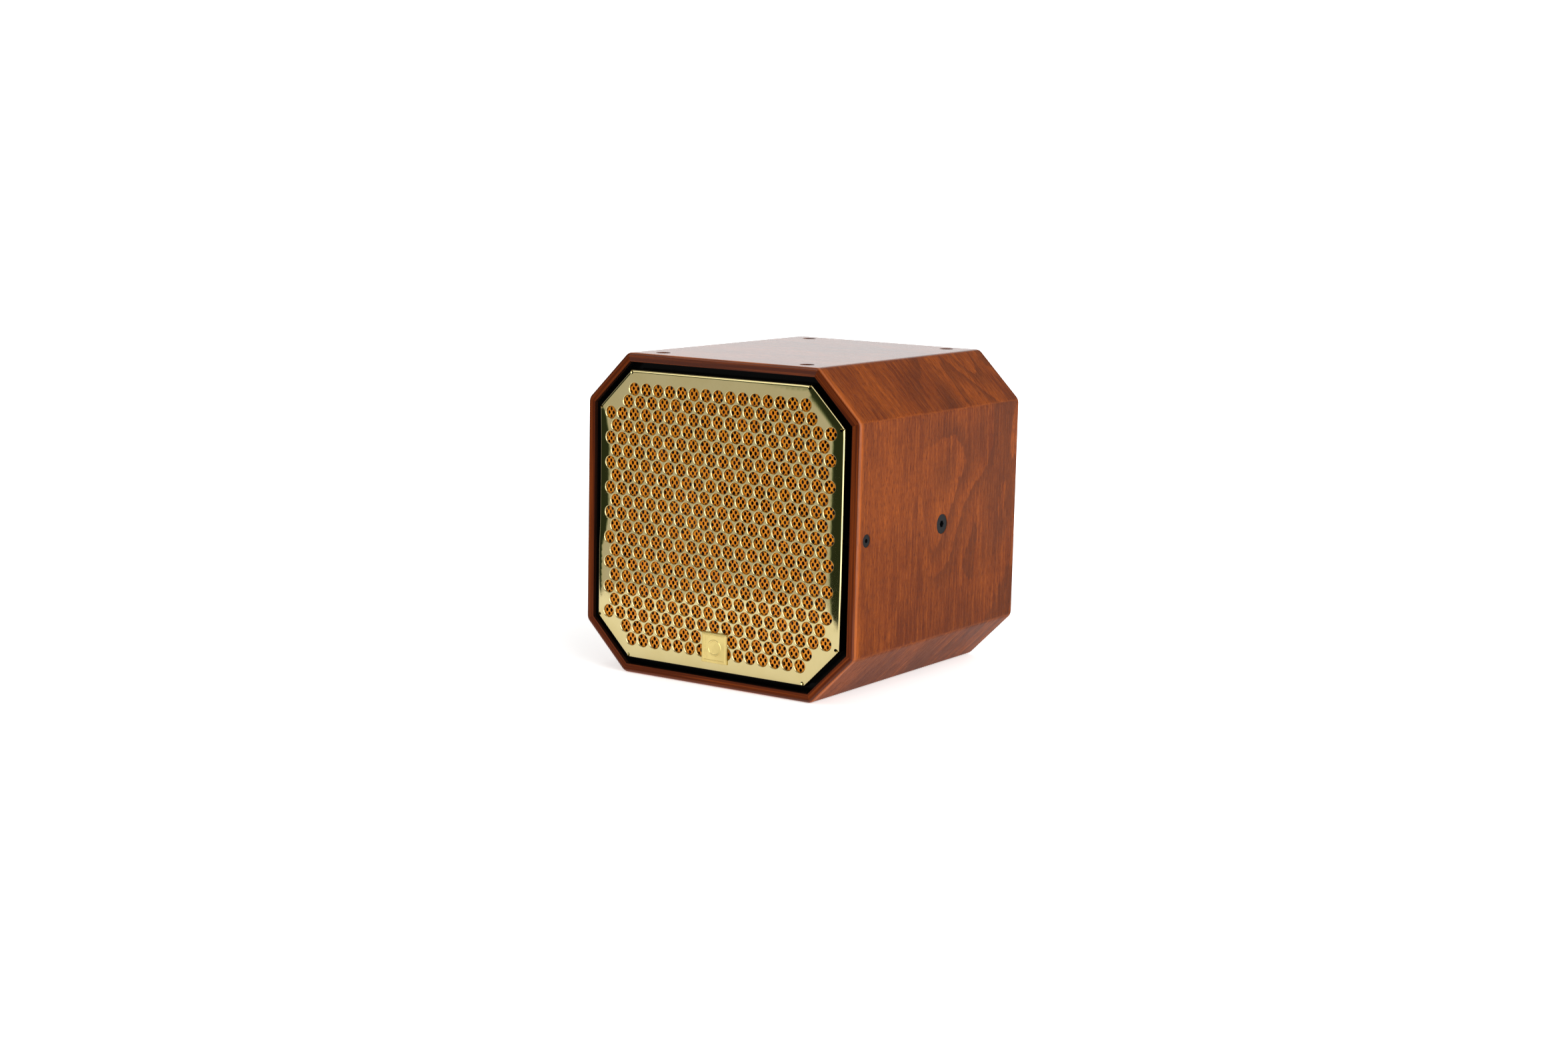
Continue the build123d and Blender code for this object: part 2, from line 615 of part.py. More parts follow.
with BuildPart() as inductors:
    with Locations((-20, CIRCUIT_Y - 19, CIRCUIT_TOP), (18, CIRCUIT_Y + 19, CIRCUIT_TOP)):
        Cylinder(16, 18, align=(Align.CENTER, Align.CENTER, Align.MIN))
        Cylinder(6, 18, align=(Align.CENTER, Align.CENTER, Align.MIN), mode=Mode.SUBTRACT)
with BuildPart() as capacitors:
    with Locations(*[(x, CIRCUIT_Y - 19, CIRCUIT_TOP + 6.5) for x in (4, 18, 32)]):
        Cylinder(6.5, 30, rotation=(90, 0, 0))
with BuildPart() as resistors:
    with Locations(*[(x, CIRCUIT_Y + 21, CIRCUIT_TOP) for x in (-24, -10)]):
        Box(8, 24, 8, align=(Align.CENTER, Align.CENTER, Align.MIN))

# Internal leads, each one whole
input_lead = wires([
    (-22, 72.9, 62), (-22, 58, 62), (-31, 46, 56), (-40, 33, 48), (-44, 22, 36), (-44, 22, CIRCUIT_TOP),
], 2.0)
woofer_lead = wires([
    (44, 0, CIRCUIT_TOP), (44, 0, 31), (38, -12, 39), (30, -27, 43.5), (20, -36, 43.5), (10.05, -36, 43.5),
], 1.8)
hf_lead = wires([
    (40, 42, CIRCUIT_TOP), (40, 42, 32), (31, 41, 44), (14, 37, 49), (0, 35, 54), (0, 35, 63.95),
], 1.6)

pieces.update({
    "front_baffle": front_baffle, "rear_panel": rear_panel, "rear_cleats": rear_cleats,
    "top_rigging_inserts": top_rigging_inserts, "bottom_rigging_inserts": bottom_rigging_inserts,
    "side_rigging_inserts": side_rigging_inserts, "side_blanking_screws": side_blanking_screws,
    "grille": grille, "grille_cloth": grille_cloth, "badge": badge,
    "grille_screws": grille_screws, "grille_spacers": grille_spacers, "grille_nuts": grille_nuts,
    "woofer_gasket": woofer_gasket, "basket": basket, "woofer_screws": woofer_screws,
    "woofer_tee_nuts": woofer_tee_nuts, "terminal_block": terminal_block,
    "surround": surround, "cone": cone, "spider": spider, "coil_former": coil_former,
    "voice_coil": voice_coil, "top_plate": top_plate, "magnet": magnet, "pole_piece": pole_piece,
    "horn": horn, "phase_plug": phase_plug, "hf_pole_plate": hf_pole_plate, "hf_magnet": hf_magnet,
    "hf_top_plate": hf_top_plate, "hf_mounting_ring": hf_mounting_ring, "hf_coil": hf_coil,
    "hf_diaphragm": hf_diaphragm, "hf_rear_cover": hf_rear_cover, "hf_screws": hf_screws,
    "input_plate": input_plate, "input_plate_screws": input_plate_screws,
    "input_socket": input_socket, "link_socket": link_socket,
    "socket_contacts": socket_contacts, "socket_screws": socket_screws,
    "rear_panel_screws": rear_panel_screws,
    "crossover_board": crossover_board, "board_spacers": board_spacers, "board_screws": board_screws,
    "inductors": inductors, "capacitors": capacitors, "resistors": resistors,
})
leads = {"input_lead": input_lead, "woofer_lead": woofer_lead, "hf_lead": hf_lead}

for name, piece in pieces.items():
    piece.part.label = name
    export_step(piece.part, f"parts/{name}.step")
for name, lead in leads.items():
    lead.label = name
    export_step(lead, f"parts/{name}.step")
print(len(pieces) + len(leads), "nodes")
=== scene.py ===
import json
from math import atan2, ceil, cos, floor, pi, radians, sin, sqrt, tan

import bpy
from mathutils import Matrix, Vector
from mathutils.geometry import delaunay_2d_cdt


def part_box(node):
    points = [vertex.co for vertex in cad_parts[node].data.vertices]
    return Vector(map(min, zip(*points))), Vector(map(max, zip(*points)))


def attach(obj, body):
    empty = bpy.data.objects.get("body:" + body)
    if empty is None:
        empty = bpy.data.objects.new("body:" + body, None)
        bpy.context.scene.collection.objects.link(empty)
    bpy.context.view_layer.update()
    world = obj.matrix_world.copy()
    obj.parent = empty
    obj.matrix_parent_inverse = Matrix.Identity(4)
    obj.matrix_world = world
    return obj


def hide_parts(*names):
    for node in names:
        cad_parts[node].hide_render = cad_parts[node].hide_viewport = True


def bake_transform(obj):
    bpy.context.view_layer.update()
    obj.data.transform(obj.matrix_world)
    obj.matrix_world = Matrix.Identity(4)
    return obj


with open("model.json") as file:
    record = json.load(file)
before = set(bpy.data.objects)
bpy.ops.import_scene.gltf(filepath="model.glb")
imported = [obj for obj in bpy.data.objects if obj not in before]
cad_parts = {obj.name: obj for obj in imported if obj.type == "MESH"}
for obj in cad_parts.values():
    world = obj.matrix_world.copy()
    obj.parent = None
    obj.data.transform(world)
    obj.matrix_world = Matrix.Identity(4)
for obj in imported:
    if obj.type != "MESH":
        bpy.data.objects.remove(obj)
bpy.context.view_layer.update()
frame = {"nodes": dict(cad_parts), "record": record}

MM = 0.001

# ---------------------------------------------------------------- measures from the frame
low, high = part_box("grille")
GRILLE_FACE = low.y / MM
GRILLE_BACK = high.y / MM
GRILLE_HALF = (high.x - low.x) / 2 / MM
side_low, side_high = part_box("right_panel")
CABINET_HALF = side_high.x / MM
CABINET_FRONT = side_low.y / MM
CABINET_BACK = side_high.y / MM
MIDDLE = CABINET_HALF  # height of the driver axis, as the cabinet is as wide as it is high
CORNER_CUT = 30.0  # leg of the corner walls
RIM = 5.5  # width of the stained front edge before the black rebate
SHEET = 1.2
JET = (0.004, 0.004, 0.0045, 1)  # black lacquer and oxide


def octagon(inset):
    """Corners of the cabinet outline moved inwards, from the lower right anticlockwise."""
    half = CABINET_HALF - inset
    flat = CABINET_HALF - CORNER_CUT - inset * (sqrt(2) - 1)
    return [(half, -flat), (half, flat), (flat, half), (-flat, half),
            (-half, flat), (-half, -flat), (-flat, -half), (flat, -half)]


def inset_of(x, z):
    """How far a point of the front view lies inside the cabinet outline."""
    corner = (2 * CABINET_HALF - CORNER_CUT - abs(x) - abs(z)) / sqrt(2)
    return min(CABINET_HALF - abs(x), CABINET_HALF - abs(z), corner)


# ---------------------------------------------------------------- camera and lamps
CAMERA_TURN = (33.97, 8.85, 1.26)  # azimuth, elevation and roll in degrees
CAMERA_PLACE = (0.8534, -1.2897, 0.3311)
CAMERA_LENS = 56.52


def place_camera():
    azimuth, elevation, roll = [radians(angle) for angle in CAMERA_TURN]
    back = Vector((sin(azimuth) * cos(elevation), -cos(azimuth) * cos(elevation), sin(elevation)))
    level_right = Vector((cos(azimuth), sin(azimuth), 0))
    level_up = back.cross(level_right)
    right = cos(roll) * level_right + sin(roll) * level_up
    up = cos(roll) * level_up - sin(roll) * level_right
    camera = bpy.data.objects.new("camera", bpy.data.cameras.new("camera"))
    bpy.context.collection.objects.link(camera)
    camera.data.lens = CAMERA_LENS
    camera.data.sensor_width = 36
    turn = Matrix((right, up, back)).transposed().to_4x4()
    camera.matrix_world = Matrix.Translation(CAMERA_PLACE) @ turn
    bpy.context.scene.camera = camera


def area_light(name, place, target, size, power):
    data = bpy.data.lights.new(name, "AREA")
    data.shape = "RECTANGLE"
    data.size, data.size_y = size
    data.energy = power
    lamp = bpy.data.objects.new(name, data)
    bpy.context.collection.objects.link(lamp)
    lamp.location = place
    lamp.rotation_euler = (Vector(target) - Vector(place)).to_track_quat("-Z", "Y").to_euler()


# ---------------------------------------------------------------- shader helpers
def node(tree, kind, inputs=None, **settings):
    """New shader node; an input is a value or another node's output socket."""
    made = tree.nodes.new("ShaderNode" + kind)
    for key, value in settings.items():
        setattr(made, key, value)
    for key, value in (inputs or {}).items():
        if isinstance(value, bpy.types.NodeSocket):
            tree.links.new(value, made.inputs[key])
        else:
            made.inputs[key].default_value = value
    return made


def calc(tree, operation, a, b=0.0, c=0.0):
    return node(tree, "Math", {0: a, 1: b, 2: c}, operation=operation).outputs[0]


def fade(tree, value, start, end, low=0.0, high=1.0):
    """Smooth step of a value from low at start to high at end."""
    made = node(tree, "MapRange", {"Value": value, "From Min": start, "From Max": end,
                                   "To Min": low, "To Max": high}, interpolation_type="SMOOTHSTEP")
    return made.outputs[0]


def grain_noise(tree, vector, scale=1.0, detail=2.0, roughness=0.5):
    inputs = {"Vector": vector, "Scale": scale, "Detail": detail, "Roughness": roughness}
    return node(tree, "TexNoise", inputs).outputs[0]


def stretched(tree, x, y, z, scales):
    """Vector of three sockets in millimetres, each scaled by its own factor."""
    parts = [calc(tree, "MULTIPLY", value, scale) for value, scale in zip((x, y, z), scales)]
    return node(tree, "CombineXYZ", dict(zip("XYZ", parts))).outputs[0]


def mixed(tree, amount, a, b):
    made = node(tree, "Mix", data_type="RGBA")
    for socket, value in ((made.inputs[0], amount), (made.inputs[6], a), (made.inputs[7], b)):
        if isinstance(value, bpy.types.NodeSocket):
            tree.links.new(value, socket)
        else:
            socket.default_value = value
    return made.outputs[2]


def colour(red, green, blue):
    """Linear colour from sRGB bytes."""
    values = (red / 255, green / 255, blue / 255)
    return (*[v / 12.92 if v <= 0.04045 else ((v + 0.055) / 1.055) ** 2.4 for v in values], 1.0)


def new_material(name, **settings):
    """Material with one Principled shader, and its tree and shader."""
    material = bpy.data.materials.new(name)
    material.use_nodes = True
    tree = material.node_tree
    shader = tree.nodes["Principled BSDF"]
    for key, value in settings.items():
        shader.inputs[key.replace("_", " ").title().replace("Ior", "IOR")].default_value = value
    return material, tree, shader


def position_mm(tree):
    """X, Y and Z of the surface point in millimetres, in the row frame."""
    place = node(tree, "TexCoord").outputs["Object"]
    scaled = node(tree, "VectorMath", {0: place, "Scale": 1 / MM}, operation="SCALE").outputs[0]
    parts = node(tree, "SeparateXYZ", {0: scaled})
    return scaled, parts.outputs[0], parts.outputs[1], parts.outputs[2]


def bumped(tree, shader, height, distance, target="Normal"):
    bump = node(tree, "Bump", {"Height": height, "Distance": distance * MM})
    tree.links.new(bump.outputs[0], shader.inputs[target])


# ---------------------------------------------------------------- materials
def veneer(name, angle, seed, gloss):
    """Stained veneer whose grain runs round the cabinet; angle turns from the right wall."""
    material, tree, shader = new_material(
        name, coat_weight=gloss, coat_roughness=0.12, specular_ior_level=0.03)
    _, x, y, z = position_mm(tree)
    z = calc(tree, "SUBTRACT", z, MIDDLE)
    across = calc(tree, "ADD", calc(tree, "MULTIPLY", x, -sin(angle)), calc(tree, "MULTIPLY", z, cos(angle)))
    out = calc(tree, "ADD", calc(tree, "MULTIPLY", x, cos(angle)), calc(tree, "MULTIPLY", z, sin(angle)))
    along = calc(tree, "ADD", across, seed * 317.0)

    def noise(along_scale, y_scale, detail, roughness=0.55):
        scales = (along_scale, y_scale, y_scale)
        return grain_noise(tree, stretched(tree, along, y, out, scales), 1.0, detail, roughness)

    clouds = noise(0.010, 0.020, 3)
    streaks = noise(0.026, 0.42, 4, 0.6)
    fibres = noise(0.17, 2.6, 3, 0.68)
    pores = noise(0.26, 3.6, 1)
    pore_mask = fade(tree, pores, 0.60, 0.67)

    # a few jagged contours of rotary-cut veneer towards the back
    relief = noise(0.0095, 0.017, 1.5, 0.4)
    jagged = calc(tree, "MULTIPLY_ADD", noise(0.05, 0.30, 3, 0.6), 0.055, relief)
    bands = calc(tree, "FRACT", calc(tree, "MULTIPLY", jagged, 8.0))
    contour = calc(tree, "MULTIPLY", fade(tree, bands, 0.15, 0.95), fade(tree, bands, 1.0, 0.95))
    contour = calc(tree, "MULTIPLY", contour, fade(tree, y, -35, 15, 0.12, 1.0))

    base = mixed(tree, fade(tree, clouds, 0.36, 0.66), colour(92, 38, 8), colour(122, 56, 12))
    base = mixed(tree, fade(tree, streaks, 0.40, 0.68, 0.0, 0.45), base, colour(156, 78, 18))
    base = mixed(tree, fade(tree, fibres, 0.46, 0.64, 0.0, 0.8), base, colour(74, 28, 6))
    base = mixed(tree, calc(tree, "MULTIPLY", contour, 0.6), base, colour(74, 32, 10))
    base = mixed(tree, calc(tree, "MULTIPLY", pore_mask, 0.55), base, colour(42, 15, 5))

    # worn arrises and painted highlight: lighter orange along the rounded front edge and where the walls meet
    half_wall = CABINET_HALF - CORNER_CUT if angle % (pi / 2) < 0.01 else CORNER_CUT / sqrt(2)
    to_joint = calc(tree, "SUBTRACT", half_wall, calc(tree, "ABSOLUTE", across))
    rubbed_and_highlit = calc(tree, "MULTIPLY", fade(tree, y, CABINET_FRONT + 6, CABINET_FRONT + 1.6, 0.0, 0.7),
                  fade(tree, streaks, 0.3, 0.65, 0.3, 1.0))
    rubbed_and_highlit = calc(tree, "MAXIMUM", rubbed_and_highlit, fade(tree, to_joint, 1.1, 0.2, 0.0, 0.1))
    # painted highlight and edge wear together: the arrises are coloured lighter orange
    base = mixed(tree, rubbed_and_highlit, base, colour(176, 88, 22))

    # front and back rims: layers of dark stain
    rim = calc(tree, "ADD", fade(tree, y, CABINET_FRONT + 0.8, CABINET_FRONT + 0.2),
               fade(tree, y, CABINET_BACK - 0.6, CABINET_BACK - 0.1))
    layers = noise(0.012, 1.1, 2)
    rim_colour = mixed(tree, fade(tree, layers, 0.40, 0.70), colour(82, 31, 8), colour(124, 54, 15))
    base = mixed(tree, rim, base, rim_colour)

    # black lacquer in the front rebate and on the inner faces; the walls of bored holes are coloured black as
    # well
    face = CABINET_HALF if angle % (pi / 2) < 0.01 else (2 * CABINET_HALF - CORNER_CUT) / sqrt(2)
    inside = fade(tree, calc(tree, "SUBTRACT", face, out), RIM - 0.25, RIM + 0.05)
    inside = calc(tree, "MULTIPLY", inside, fade(tree, y, CABINET_BACK - 12, CABINET_BACK - 13))
    bored = calc(tree, "MULTIPLY", fade(tree, calc(tree, "SUBTRACT", face, out), 0.55, 0.85),
                 calc(tree, "MULTIPLY", fade(tree, y, CABINET_FRONT + 2.2, CABINET_FRONT + 2.6),
                      fade(tree, y, CABINET_BACK - 2.2, CABINET_BACK - 2.6)))
    inside = calc(tree, "MAXIMUM", inside, bored)
    base = mixed(tree, inside, base, JET)
    tree.links.new(base, shader.inputs["Base Color"])

    # lacquer has gathered on the rounded front edge, and is matt black inside
    edge = calc(tree, "MULTIPLY", fade(tree, y, CABINET_FRONT + 2.4, CABINET_FRONT + 1.6),
                fade(tree, calc(tree, "SUBTRACT", face, out), 2.2, 1.5))
    coat = calc(tree, "MAXIMUM", calc(tree, "MULTIPLY", edge, 0.5), gloss)
    coat = calc(tree, "MULTIPLY", coat, calc(tree, "SUBTRACT", 1.0, calc(tree, "MULTIPLY", inside, 0.95)))
    tree.links.new(coat, shader.inputs["Coat Weight"])

    rough = fade(tree, fibres, 0.2, 0.8, 0.42, 0.56)
    rough = calc(tree, "SUBTRACT", rough, calc(tree, "MULTIPLY", inside, 0.3))
    tree.links.new(rough, shader.inputs["Roughness"])
    height = calc(tree, "MULTIPLY_ADD", fibres, 0.35, calc(tree, "MULTIPLY", pore_mask, -0.8))
    height = calc(tree, "MULTIPLY", height, calc(tree, "SUBTRACT", 1.0, inside))
    bumped(tree, shader, height, 0.05)
    bumped(tree, shader, calc(tree, "MULTIPLY_ADD", height, 0.08, clouds), 0.012, "Coat Normal")
    return material


def polished_brass(name, base=(0.56, 0.47, 0.235, 1), roughness=0.05, scratch=0.002):
    material, tree, shader = new_material(name, metallic=1.0, roughness=roughness)
    place, x, y, z = position_mm(tree)
    haze = grain_noise(tree, place, 0.045, 4, 0.6)
    scratches = grain_noise(tree, stretched(tree, x, y, z, (1.2, 1.2, 9.0)), 1.0, 3, 0.7)
    warmer = (base[0] * 0.88, base[1] * 0.84, base[2] * 0.7, 1)
    tint = mixed(tree, fade(tree, haze, 0.35, 0.7, 0.0, 0.35), base, warmer)
    tree.links.new(tint, shader.inputs["Base Color"])
    spread = fade(tree, haze, 0.3, 0.75, roughness * 0.7, roughness * 1.9)
    tree.links.new(spread, shader.inputs["Roughness"])
    bumped(tree, shader, scratches, scratch)
    return material


def yarn(name):
    """Glossy orange knitting yarn: filaments along the strands, with painted shade on the flanks of the
    eyelets.
    """
    material, tree, shader = new_material(name, sheen_weight=0.1, sheen_roughness=0.4, specular_ior_level=0.3)
    place, x, y, z = position_mm(tree)
    filaments = grain_noise(tree, stretched(tree, x, y, z, (7.0, 7.0, 1.6)), 1.0, 3, 0.65)
    patches = grain_noise(tree, place, 0.35, 2, 0.5)
    normal = node(tree, "SeparateXYZ", {0: node(tree, "NewGeometry").outputs["Normal"]}).outputs[1]
    flat = fade(tree, calc(tree, "MULTIPLY", normal, -1), 0.80, 0.96)
    lit = mixed(tree, fade(tree, filaments, 0.35, 0.68), colour(240, 116, 2), colour(255, 186, 34))
    lit = mixed(tree, fade(tree, patches, 0.4, 0.7, 0.0, 0.35), lit, colour(240, 120, 4))
    # painted shade: dark brown where the surface slopes away from the front on the eyelet flanks, full yarn
    # colour where it faces the front
    tree.links.new(mixed(tree, flat, colour(70, 22, 2), lit), shader.inputs["Base Color"])
    tree.links.new(fade(tree, filaments, 0.3, 0.7, 0.5, 0.28), shader.inputs["Roughness"])
    bumped(tree, shader, filaments, 0.12)
    return material


def plain(name, base, roughness, metallic=0.0, grain=0.6, height=0.01, contrast=0.25, **extra):
    """Moulded, painted or cast surface: base colour with fine mottling, uneven gloss and texture."""
    material, tree, shader = new_material(name, metallic=metallic, **extra)
    place = position_mm(tree)[0]
    fine = grain_noise(tree, place, grain, 3, 0.6)
    wide = grain_noise(tree, place, grain * 0.06, 3, 0.5)
    dark = tuple(value * (1 - contrast) for value in base[:3]) + (1,)
    light = tuple(min(1.0, value * (1 + contrast)) for value in base[:3]) + (1,)
    shade = mixed(tree, fade(tree, wide, 0.3, 0.7), dark, light)
    shade = mixed(tree, fade(tree, fine, 0.55, 0.8, 0.0, 0.5), shade, dark)
    tree.links.new(shade, shader.inputs["Base Color"])
    spread = fade(tree, wide, 0.3, 0.7, roughness * 0.92, min(1.0, roughness * 1.1))
    tree.links.new(spread, shader.inputs["Roughness"])
    bumped(tree, shader, fine, height)
    return material


def turned_metal(name, base, roughness):
    """Machined metal with fine rings about the driver axis."""
    material, tree, shader = new_material(name, metallic=1.0)
    place, x, y, z = position_mm(tree)
    z = calc(tree, "SUBTRACT", z, MIDDLE)
    radius = calc(tree, "SQRT", calc(tree, "ADD", calc(tree, "MULTIPLY", x, x), calc(tree, "MULTIPLY", z, z)))
    rings = grain_noise(tree, stretched(tree, radius, y, x, (5.0, 5.0, 0.05)), 1.0, 2)
    stains = grain_noise(tree, place, 0.05, 3)
    tree.links.new(mixed(tree, fade(tree, stains, 0.35, 0.7), base, tuple(v * 0.7 for v in base[:3]) + (1,)),
                   shader.inputs["Base Color"])
    tree.links.new(fade(tree, rings, 0.3, 0.7, roughness, roughness * 1.7), shader.inputs["Roughness"])
    bumped(tree, shader, rings, 0.01)
    return material


# ---------------------------------------------------------------- mesh helpers
class Shell:
    """Vertices and faces in millimetres; points at the same place are one vertex."""

    def __init__(self):
        self.points, self.faces, self.known = [], [], {}

    def at(self, x, y, z):
        key = (round(x + 1e-4, 2), round(y + 1e-4, 2), round(z + 1e-4, 2))
        if key not in self.known:
            self.known[key] = len(self.points)
            self.points.append((x * MM, y * MM, z * MM))
        return self.known[key]

    def face(self, *corners):
        kept = [c for i, c in enumerate(corners) if c != corners[i - 1]]
        if len(kept) > 2:
            self.faces.append(kept)

    def piece(self, name, material, body, *replaced, sharp=40.0):
        mesh = bpy.data.meshes.new(name)
        mesh.from_pydata(self.points, [], self.faces)
        mesh.validate()
        mesh.materials.append(material)
        mesh.polygons.foreach_set("use_smooth", [True] * len(mesh.polygons))
        mesh.set_sharp_from_angle(angle=radians(sharp))
        mesh.update()
        made = bpy.data.objects.new(name, mesh)
        bpy.context.collection.objects.link(made)
        if body:
            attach(made, body)
        if replaced:
            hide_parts(*replaced)
        return made


SLOTS = {entry["node"]: entry["material_slot"] for entry in frame["record"]["subparts"]}
ROOT = "cabinet"


def scatter(index, channel):
    """Repeatable number from -1 to 1 for a numbered item."""
    value = sin(index * 12.9898 + channel * 78.233) * 43758.5453
    return 2 * (value - floor(value)) - 1


# ---------------------------------------------------------------- grille
PITCH = 9.0
ROW = PITCH * sqrt(3) / 2
HOLE = 3.72  # radius at the bottom of the rounded lip
HALF_ROWS = 10
LIP_WIDTH = 0.5
LAND = 0.09  # narrow flat ring that keeps the lip's shading off the face
COLLAR = 1.4  # depth of the hole's wall, drawn a little past the sheet
CELL_SIDES = 30
GRILLE_INSET = CABINET_HALF - GRILLE_HALF
BEND = 2.0
SHORT_FLANGE = 7.5
RELIEF = 1.0
JOINT_GAP = 0.12
BEND_STEPS = 5
BORDER_WIDTH, BORDER_FALL = 7.0, 0.42  # of the curve all round the face
DRAWN_WIDTH, DRAWN_FALL = 5.0, 1.0  # added where sag() is 1
WAVE = 0.05
CLEARANCE = 0.7
FILL_INSETS = (13.2, 14.6, 16.4, 18.6, 21.0)  # extra rings of points on the plain border
FILL_STEP = 4.0  # longest step along the border
# steps outwards as shares of LIP_WIDTH, and how deep each lies
LIP_PROFILE = ((0.0, 0.72), (0.15, 0.58), (0.45, 0.32), (0.8, 0.07), (1.0, 0.0))


def smooth(value):
    value = max(0.0, min(1.0, value))
    return value * value * (3 - 2 * value)


def sag(x, z):
    """Share from 0 to 1 of the extra fall at the border, where pressing has drawn the sheet back."""
    beside = smooth((abs(x) - 58) / 14)
    tall = smooth(1.15 - ((z - 22) / 44) ** 2) if x < 0 else smooth((z + 72) / 50)
    above = smooth((z - 64) / 12) * smooth((x - 5) / 50)
    return max(beside * tall, above)


def dish(x, z):
    """How far the sheet falls back: its border curves away and its middle is not quite flat."""
    edge = inset_of(x, z) - GRILLE_INSET
    pulled = sag(x, z)
    border = max(0.0, 1 - edge / (BORDER_WIDTH + DRAWN_WIDTH * pulled))
    waves = WAVE * (1 + sin(x * 0.083 + 0.9) * sin(z * 0.071 + 0.4))
    return (BORDER_FALL + DRAWN_FALL * pulled) * border ** 2 + waves


def hole_centres():
    for row in range(-HALF_ROWS, HALF_ROWS + 1):
        count = {HALF_ROWS: 15, HALF_ROWS - 1: 16}.get(abs(row), 19 - row % 2)
        for index in range(count):
            yield (index - (count - 1) / 2) * PITCH, row * ROW


def in_cell(x, z, centres):
    """True where a point lies in the six-sided cell of a hole."""
    row = round(z / ROW)
    for near in (row - 1, row, row + 1):
        for centre in centres.get(near, ()):
            across, up = abs(x - centre), abs(z - near * ROW)
            if max(across, across / 2 + up * sqrt(3) / 2) < PITCH / 2 + 0.01:
                return True
    return False


def grille_outline():
    """Edge of the grille's flat face, side by side, with the relief holes at the corners."""
    corners = octagon(GRILLE_INSET + BEND)
    sides, arcs = [], []
    for index, start in enumerate(corners):
        start, end = Vector(start), Vector(corners[(index + 1) % 8])
        along = (end - start).normalized()
        first, last = start + along * RELIEF, end - along * RELIEF
        count = ceil((last - first).length / FILL_STEP)
        sides.append([first.lerp(last, step / count) for step in range(count + 1)])
        following = Vector(corners[(index + 2) % 8]) - end
        turn_from, turn_to = atan2(-along.y, -along.x), atan2(following.y, following.x)
        while turn_to > turn_from:
            turn_to -= 2 * pi
        steps = [turn_from + (turn_to - turn_from) * step / 6 for step in range(1, 6)]
        arcs.append([end + RELIEF * Vector((cos(angle), sin(angle))) for angle in steps])
    return sides, arcs


